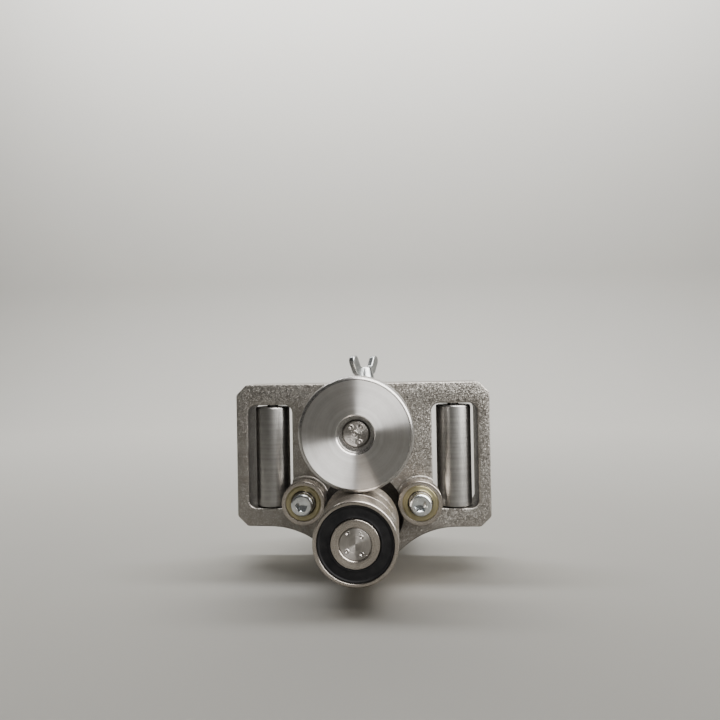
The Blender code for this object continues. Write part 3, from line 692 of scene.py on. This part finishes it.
def lower_shaft():
    """The fixed shaft, its end turned to a shallow centre and staked in four places."""
    start, end = span("lower_shaft")
    r = radius("lower_shaft")
    marks = [((-2.8, 4.1), 0.62), ((2.3, 2.7), 0.55), ((-3.1, -2.6), 0.62), ((2.3, -3.6), 0.62),
             ((1.8, 4.2), 0.28), ((4.1, -3.7), 0.26)]

    def relief(u, v, h):
        if h > start + 0.001:
            return 0.0
        d = math.hypot(u, v)
        face = 0.16 * max(0.0, 1 - d / 3.1) + 0.05 * math.exp(-((d - 3.1) / 0.18) ** 2)
        return face + sum(crater(u, v, spot, size, 0.45) for spot, size in marks)
    face = [(x, start) for x in disc_steps(r - 0.35, 60)]
    profile = face + [(r - 0.15, start + 0.06), (r, start + 0.3), (r, end - 0.3), (r - 0.3, end), (0, end)]
    shaft = turned("roller_shaft", profile, (0, 0, LOWER), "Y", 144, relief)
    place(shaft, "frame", "plain_steel", SHAFT, "lower_shaft")
    start, end = span("lower_shaft_spacer")
    ring = rounded([(9.0, end, 0.3), (9.0, start, 0.3), (r + 0.05, start, 0.2), (r + 0.05, end, 0.2)])
    spacer = turned("shaft_spacer", ring, (0, 0, LOWER), "Y", 96)
    place(spacer, "frame", "plain_steel", SHAFT, "lower_shaft_spacer")


def wheel():
    """The face-turned wheel: a flat face inside a rounded rim, and a stepped recess, with painted shade on
    the rim and in the recess.
    """
    start, end = span("wheel")
    r, edge = radius("wheel"), 1.5
    floor, bore = start + 3.5, 5.05
    profile = arc(r - edge, end - edge, edge, 90, 0, 12)
    profile += arc(r - edge, start + edge + 0.12, edge, 0, -90, 12)
    profile += [(r - edge - 0.06, start), (7.75, start), (7.3, start + 0.4), (7.25, start + 0.6)]
    profile += arc(7.0, floor - 0.25, 0.25, 0, 90, 4)
    profile += [(5.6, floor), (5.45, floor + 0.15), (5.3, floor + 1.0), (bore, floor + 1.2)]
    profile += [(bore, end - 0.4), (bore + 0.4, end)]
    disc = turned("turned_wheel", profile, (0, 0, UPPER), "Y", 192)
    place(disc, "wheel", "turned_steel", WHEEL, "wheel")
    # The rim, the recess and the rest outside the flat face get the darker steel as painted shade.
    second_finish(disc, RIM_PAINTED_SHADE, lambda at: not 7.8 < math.hypot(at.x, at.z) < r - edge - 0.1)


def wheel_shaft():
    """The wheel's shaft: a rough cropped end with punch marks, a collar, and a groove at the tail."""
    start, end = span("wheel_shaft")
    r, collar, groove_r = 5.0, 6.5, 4.4
    collar_start = span("wheel")[1] + 0.1
    collar_end = span("front_block_bearing_inner_ring")[0] - 0.1
    groove = span("retaining_ring")
    marks = [((-2.0, 2.6), 0.75), ((2.0, 2.8), 0.75), ((1.5, -3.0), 0.65), ((-0.4, 0.2), 0.8)]

    def relief(u, v, h):
        if h > start + 0.001:
            return 0.0
        rough = 0.11 * noise.noise(Vector((u * 1.3, v * 1.3, 3.0)))
        rough += 0.08 * noise.noise(Vector((u * 3.4, v * 3.4, 8.0)))
        turning = 0.02 * math.sin(math.hypot(u, v) * 8.0)
        return rough + turning + sum(crater(u, v, spot, size, 0.5) for spot, size in marks)
    profile = [(x, start) for x in disc_steps(r - 0.35, 60)]
    profile += [(r - 0.15, start + 0.1), (r, start + 0.4), (r, collar_start),
                (collar - 0.3, collar_start), (collar, collar_start + 0.3),
                (collar, collar_end - 0.3), (collar - 0.3, collar_end), (r, collar_end)]
    profile += [(r, groove[0] - 0.05), (groove_r, groove[0] - 0.05), (groove_r, groove[1] + 0.05),
                (r, groove[1] + 0.05), (r, end - 0.4), (r - 0.4, end), (0, end)]
    shaft = turned("wheel_spindle", profile, (0, 0, UPPER), "Y", 144, relief)
    place(shaft, "wheel", "plain_steel", SHAFT, "wheel_shaft")


def snap_clip():
    """The retaining ring in the groove at the shaft's tail, with its open mouth below."""
    a, b = span("retaining_ring")
    ring = rounded([(7.4, b, 0.12), (7.4, a, 0.12), (4.5, a, 0.12), (4.5, b, 0.12)])
    clip = turned("clip", ring, (0, 0, UPPER), "Y", 96)
    boolean(clip, [sheet("mouth", [rectangle(-2.2, 2.2, UPPER - 9, UPPER - 1, 0.5)], a - 1, b + 1)])
    smooth(clip.data)
    place(clip, "wheel", "black_steel", BLACK, "retaining_ring").name = "snap_clip"


# ---------------------------------------------------------------- ball bearings

LOWER_SIZE = dict(bore=6.05, inner=9.1, outer=12.9, cover=14.4, pitch=11.0, ball=2.9, balls=7, ease=0.7)
GUIDE_SIZE = dict(bore=3.0, inner=5.0, outer=7.2, cover=7.75, pitch=6.15, ball=1.6, balls=7, ease=0.35)
BLOCK_SIZE = dict(bore=5.05, inner=6.2, outer=8.3, cover=None, pitch=7.25, ball=1.1, balls=8, ease=0.3)


def race(land, pitch, ball, mid, inward):
    """Points of a ball groove between its two lands, in the order of their depth."""
    groove = ball * 1.06
    reach = math.sqrt(max(0.0, groove ** 2 - (abs(pitch - land)) ** 2))
    half = math.degrees(math.atan2(reach, abs(pitch - land)))
    centre = 180 if inward else 0
    return arc(pitch, mid, groove, centre - half, centre + half, 12)


def ball_bearing(prefix, label, size, ring_body, still_body):
    """Both rings of one bearing, the seats for its covers where it has them, and the ball set in its cage.
    """
    node = f"{prefix}_outer_ring"
    centre, (front, rear), r = middle(node), span(node), radius(node)
    mid, ease = (front + rear) / 2, size["ease"]
    spot = (centre.x, 0, centre.z)

    land = size["outer"]
    lip = size["cover"] + 0.05 if size["cover"] else land
    depth = 1.3 if size["ball"] > 2 else 0.8
    outer = [(r, rear, ease), (r, front, ease), (lip, front, ease * 0.3)]
    if size["cover"]:
        outer += [(lip, front + depth, 0), (land, front + depth, 0)]
    outer += [(x, h, 0) for x, h in race(land, size["pitch"], size["ball"], mid, False)]
    if size["cover"]:
        outer += [(land, rear - depth, 0), (lip, rear - depth, 0)]
    outer += [(lip, rear, ease * 0.3)]
    ring = turned(f"{label}_outer_race", rounded(outer), spot, "Y", 160 if r > 12 else 112)
    place(ring, ring_body, "bearing_steel", RING, node)

    node = f"{prefix}_inner_ring"
    land, bore = size["inner"], size["bore"]
    groove = race(land, size["pitch"], size["ball"], mid, True)
    inner = [(land, rear, ease * 0.3)]
    inner += [(x, h, 0) for x, h in sorted(groove, key=lambda point: -point[1])]
    inner += [(land, front, ease * 0.3), (bore, front, ease), (bore, rear, ease)]
    ring = turned(f"{label}_inner_race", rounded(inner), spot, "Y", 112)
    place(ring, still_body, "bearing_steel", RING, node)
    ball_set(prefix, label, size, spot, mid, ring_body)


def ball_set(prefix, label, size, spot, mid, body):
    """Polished balls joined by their pressed cage."""
    bm = bmesh.new()
    for i in range(size["balls"]):
        angle = 2 * math.pi * i / size["balls"]
        made = bmesh.ops.create_uvsphere(bm, u_segments=28, v_segments=18, radius=size["ball"] * MM)
        shift = [size["pitch"] * math.cos(angle) * MM, mid * MM, size["pitch"] * math.sin(angle) * MM]
        bmesh.ops.translate(bm, vec=shift, verts=made["verts"])
    balls = from_bmesh("balls", bm)
    balls.location = [c * MM for c in spot]
    deep, thick = size["ball"] * 0.32, size["ball"] * 0.3
    inner, outer = size["pitch"] - thick, size["pitch"] + thick
    ring = rounded([(outer, mid + deep, 0.1), (outer, mid - deep, 0.1),
                    (inner, mid - deep, 0.1), (inner, mid + deep, 0.1)], 2)
    cage = turned(f"{label}_cage", ring, spot, "Y", 84)
    boolean(cage, [balls], "UNION")
    smooth(cage.data)
    place(cage, body, "cage_steel", MILLED, f"{prefix}_ball_cage").name = f"{label}_balls"


def seal(prefix, label, face, body):
    """A moulded seal: a rolled outer bead, a shallow web and an inner lip."""
    node = f"{prefix}_{face}_seal"
    (front, rear), spot = span(node), (0, 0, LOWER)
    out, back = (front, rear) if face == "front" else (rear, front)
    sign = 1 if back > out else -1
    steps = [(14.4, 0.30), (14.25, 0.06), (13.95, 0.0), (13.65, 0.07), (13.5, 0.24), (13.2, 0.30),
             (12.9, 0.27), (11.4, 0.22), (10.4, 0.20), (10.15, 0.14), (9.95, 0.04), (9.7, 0.02),
             (9.5, 0.08), (9.4, 0.22)]
    profile = [(x, out + sign * d) for x, d in steps] + [(9.4, back), (14.4, back)]
    disc = turned(f"{label}_{face}_seal", profile, spot, "Y", 160)
    smooth(disc.data, 50)
    place(disc, body, "seal_rubber", RUBBER, node)


def shield(prefix, label, face, x, body):
    """A pressed yellow shield, its inner edge turned in and its rim sunk in the ring's groove."""
    node = f"{prefix}_{face}_shield"
    front, rear = span(node)
    out, back = (front, rear) if face == "front" else (rear, front)
    sign = 1 if back > out else -1
    steps = [(7.72, 0.42), (7.42, 0.42), (7.36, 0.16), (7.24, 0.06), (7.05, 0.03),
             (6.4, 0.03), (5.75, 0.05), (5.5, 0.12), (5.36, 0.24), (5.3, 0.40)]
    profile = [(r, out + sign * d) for r, d in steps] + [(5.3, back), (7.72, back)]
    disc = turned(f"{label}_{face}_cover", profile, (x, 0, GUIDE_Z), "Y", 112)
    smooth(disc.data, 50)
    place(disc, body, "brass_shield", SHIELD, node)


def bearings():
    """Every ball bearing, with its covers."""
    for word in ("front", "middle", "rear"):
        prefix, label = f"{word}_roller_bearing", f"stack_{word}"
        ball_bearing(prefix, label, LOWER_SIZE, "lower_roller", "frame")
        for face in ("front", "rear"):
            seal(prefix, label, face, "lower_roller")
    for word, x in (("left", -GUIDE_X), ("right", GUIDE_X)):
        prefix, label = f"{word}_guide_bearing", f"guide_{word}"
        ball_bearing(prefix, label, GUIDE_SIZE, f"{word}_guide", "frame")
        for face in ("front", "rear"):
            shield(prefix, label, face, x, f"{word}_guide")
    for word in ("front", "rear"):
        ball_bearing(f"{word}_block_bearing", f"block_{word}", BLOCK_SIZE, "slide", "wheel")


def deeper_than(depth, r):
    """A test for faces within r of a piece's own axis and behind a depth."""
    return lambda at: math.hypot(at.x, at.z) < r and at.y > depth


def guide_screws():
    """The two zinc screws that hold the guide bearings, and the shims behind them."""
    for word, x in (("left", -GUIDE_X), ("right", GUIDE_X)):
        node = f"{word}_guide_screw"
        start, end = span(node)
        head_r, seat, shank_r, across = 4.8, start + 3.7, 2.95, 5.0
        corners = [(0, start, 0), (head_r, start, 1.3), (head_r, seat, 0.15), (shank_r, seat, 0.1),
                   (shank_r, end, 0.5), (0, end, 0)]
        screw = turned("screw", rounded(corners, 8), (x, 0, GUIDE_Z), "Y", 96)
        boolean(screw, hex_socket((x, 0, GUIDE_Z), across, start, 2.6, 0.9))
        smooth(screw.data)
        place(screw, "frame", "zinc_plate", ZINC, node).name = f"zinc_screw_{word}"
        second_finish(screw, SOCKET, deeper_than(start + 0.15, across / 2 + 0.4))
        node = f"{word}_guide_spacer"
        start, end = span(node)
        ring = rounded([(4.9, end, 0.08), (4.9, start, 0.08), (3.0, start, 0.08), (3.0, end, 0.08)], 3)
        shim = turned(f"shim_{word}", ring, (x, 0, GUIDE_Z), "Y", 72)
        place(shim, "frame", "plain_steel", SHAFT, node)


# ---------------------------------------------------------------- stud, washer and wing nut

def lift_stud():
    """The threaded stud: a helical ridge cut into a plain core."""
    spot, (low, high) = middle("lift_stud"), span("lift_stud", "Z")
    major, minor, pitch = 2.4, 2.02, 0.8
    around, per_turn = 48, 10
    rows = int((high - low) / pitch * per_turn)
    bm = bmesh.new()
    grid = []
    for i in range(rows + 1):
        z = low + (high - low) * i / rows
        ring = []
        for k in range(around):
            phase = (z / pitch - k / around) % 1.0
            ridge = 1 - abs(2 * phase - 1)
            taper = min(1.0, (high - z) / 0.6 + 0.15, (z - low) / 0.6 + 0.15)
            r = minor + (major - minor) * min(1.0, ridge * 1.15) * taper
            angle = 2 * math.pi * k / around
            ring.append(bm.verts.new((r * math.cos(angle) * MM, r * math.sin(angle) * MM, z * MM)))
        grid.append(ring)
    for one, two in zip(grid, grid[1:]):
        for k in range(around):
            n = (k + 1) % around
            bm.faces.new((one[k], one[n], two[n], two[k]))
    bm.faces.new(grid[0])
    bm.faces.new(grid[-1])
    stud = from_bmesh("threaded_stud", bm)
    stud.location = (spot.x * MM, spot.y * MM, 0)
    smooth(stud.data, 50)
    place(stud, "slide", "zinc_plate", ZINC, "lift_stud")


def flat_washer():
    """The washer that the wing nut turns on."""
    spot, (low, high) = middle("lift_stud"), span("nut_washer", "Z")
    ring = rounded([(5.2, high, 0.3), (5.2, low, 0.15), (2.7, low, 0.1), (2.7, high, 0.2)])
    washer = turned("flat_washer", ring, (spot.x, spot.y, 0), "Z", 96)
    place(washer, "frame", "zinc_plate", ZINC, "nut_washer")


def wing_nut():
    """The wing nut: a tapered hub and two ears, blended as in a casting."""
    low, stud = span("wing_nut", "Z")[0], middle("lift_stud")
    top, foot_r, half_t = low + 6.5, 4.9, 1.4
    hub_profile = rounded([(0, top, 0), (3.7, top, 0.6), (foot_r, low + 1.0, 0.6),
                           (foot_r, low + 0.1, 0.2), (0, low + 0.1, 0)])
    hub = turned("hub", hub_profile, (stud.x, stud.y, 0), "Z", 64)
    ear = [(2.6, 1.5), (5.7, 1.3), (9.6, 3.4)] + arc(10.25, 9.45, 2.65, -40, 150, 16)
    ear += [(5.5, 6.9), (2.6, 5.8)]
    ears = []
    for turn in (math.radians(65), math.radians(245)):
        loop = [(x, z + low) for x, z in ear]
        ears.append(sheet("ear", [loop], -half_t, half_t, 0.5, turn, (stud.x, stud.y)))
    boolean(hub, ears, "UNION")
    remesh = hub.modifiers.new("remesh", "REMESH")
    remesh.mode = "VOXEL"
    remesh.voxel_size = 0.2 * MM
    blend = hub.modifiers.new("blend", "SMOOTH")
    blend.factor = 0.5
    blend.iterations = 9
    baked(hub)
    bore_r = 2.5
    bore = [(0, low - 1), (3.3, low - 1), (bore_r, low + 0.6), (bore_r, top - 0.5), (3.6, top + 0.6),
            (0, top + 0.6)]
    base = sheet("base", [rectangle(-16, 16, low - 5, low + 0.08, 0.1)], 0, 60)
    boolean(hub, [turned("bore", bore, (stud.x, stud.y, 0), "Z", 64), base])
    smooth(hub.data, 40)
    place(hub, "wing_nut", "zinc_plate", NUT, "wing_nut").name = "winged_nut"


# ---------------------------------------------------------------- floor, light and camera

def plain(name, colour, rough):
    """A plain matt material with a slight unevenness."""
    material, tree, shader, mm = start_material(name, 0.0)
    tone = spread(tree, grain(tree, mm, 0.01, 3.0), 0.0, 1.0)
    tree.links.new(tint(tree, tone, [c * 0.985 for c in colour], colour), shader.inputs["Base Color"])
    shader.inputs["Roughness"].default_value = rough
    return material


def stage():
    """A pale floor that sweeps up into a pale wall behind the guide."""
    bm = bmesh.new()
    sweep, reach, wide = 0.25, 0.75, 2.2
    line = [(-1.2, 0.0), (reach - sweep, 0.0)]
    line += [(reach - sweep + sweep * math.sin(a), sweep - sweep * math.cos(a))
             for a in [math.radians(4.5 * i) for i in range(1, 21)]]
    line += [(reach, 1.9)]
    rows = [[bm.verts.new((x, y, z)) for x in (-wide, wide)] for y, z in line]
    for one, two in zip(rows, rows[1:]):
        bm.faces.new((one[0], one[1], two[1], two[0]))
    floor = from_bmesh("pale_sweep", bm)
    smooth(floor.data, 60)
    floor.data.materials.append(plain("pale_paint", (0.60, 0.585, 0.545), 0.8))
    return floor


def area_light(name, corner, across, along, power, colour=(1, 1, 1), shy_of=None):
    """A soft panel spanned by two edges from a corner, in metres.

    It shines to the side away from the cross product of its edges, and never on what it is shy of.
    """
    corner, across, along = Vector(corner), Vector(across), Vector(along)
    data = bpy.data.lights.new(name, "AREA")
    data.shape = "RECTANGLE"
    data.size, data.size_y = across.length, along.length
    data.energy = power
    data.color = colour
    light = bpy.data.objects.new(name, data)
    normal = across.cross(along)
    turn = Matrix((across.normalized(), along.normalized(), normal.normalized())).transposed()
    light.matrix_world = Matrix.Translation(corner + (across + along) / 2) @ turn.to_4x4()
    light.visible_camera = False
    bpy.context.scene.collection.objects.link(light)
    if shy_of:
        left_out = bpy.data.collections.new(f"{name}_leaves_out")
        left_out.objects.link(shy_of)
        light.light_linking.receiver_collection = left_out
        left_out.collection_objects[0].light_linking.link_state = "EXCLUDE"


def lights(floor):
    """A long softbox that slopes from overhead down to the right, and a wash on floor and wall.

    The room is pale where it is seen past the floor, and dim where the metal mirrors it.
    """
    area_light("softbox", (-0.02, -0.85, 0.85), (0.97, 0, -0.69), (0, 0.8, 0), 36.0,
               (1.0, 0.985, 0.96), floor)
    area_light("wash", (-0.8, 0.2, 0.95), (1.6, 0, 0), (0, 0.17, 0.22), 26.0)
    world = bpy.data.worlds.new("room")
    world.use_nodes = True
    tree = world.node_tree
    backdrop = tree.nodes["Background"]
    seen = add(tree, "ShaderNodeLightPath").outputs["Is Camera Ray"]
    backdrop.inputs["Color"].default_value = (0.80, 0.79, 0.76, 1)
    dim, pale = 0.12, 0.60
    tree.links.new(spread(tree, seen, dim, pale, 0.0, 1.0), backdrop.inputs["Strength"])
    bpy.context.scene.world = world


def camera():
    """The camera, a little above the plate's top and right of the middle, as a phone would be held."""
    data = bpy.data.cameras.new("camera")
    data.sensor_width = 36.0
    data.lens = 27.05
    data.clip_start = 0.005
    view = bpy.data.objects.new("camera", data)
    view.location = (16.72 * MM, -240.14 * MM, 88.2 * MM)
    view.rotation_euler = [math.radians(a) for a in (90.6, 1.03, 4.0)]
    bpy.context.scene.collection.objects.link(view)
    bpy.context.scene.camera = view


camera()
lights(stage())
frame_plate()
rear_housing()
housing_screws()
slide_block()
springs()
side_rollers()
lower_shaft()
wheel()
wheel_shaft()
snap_clip()
bearings()
guide_screws()
lift_stud()
flat_washer()
wing_nut()
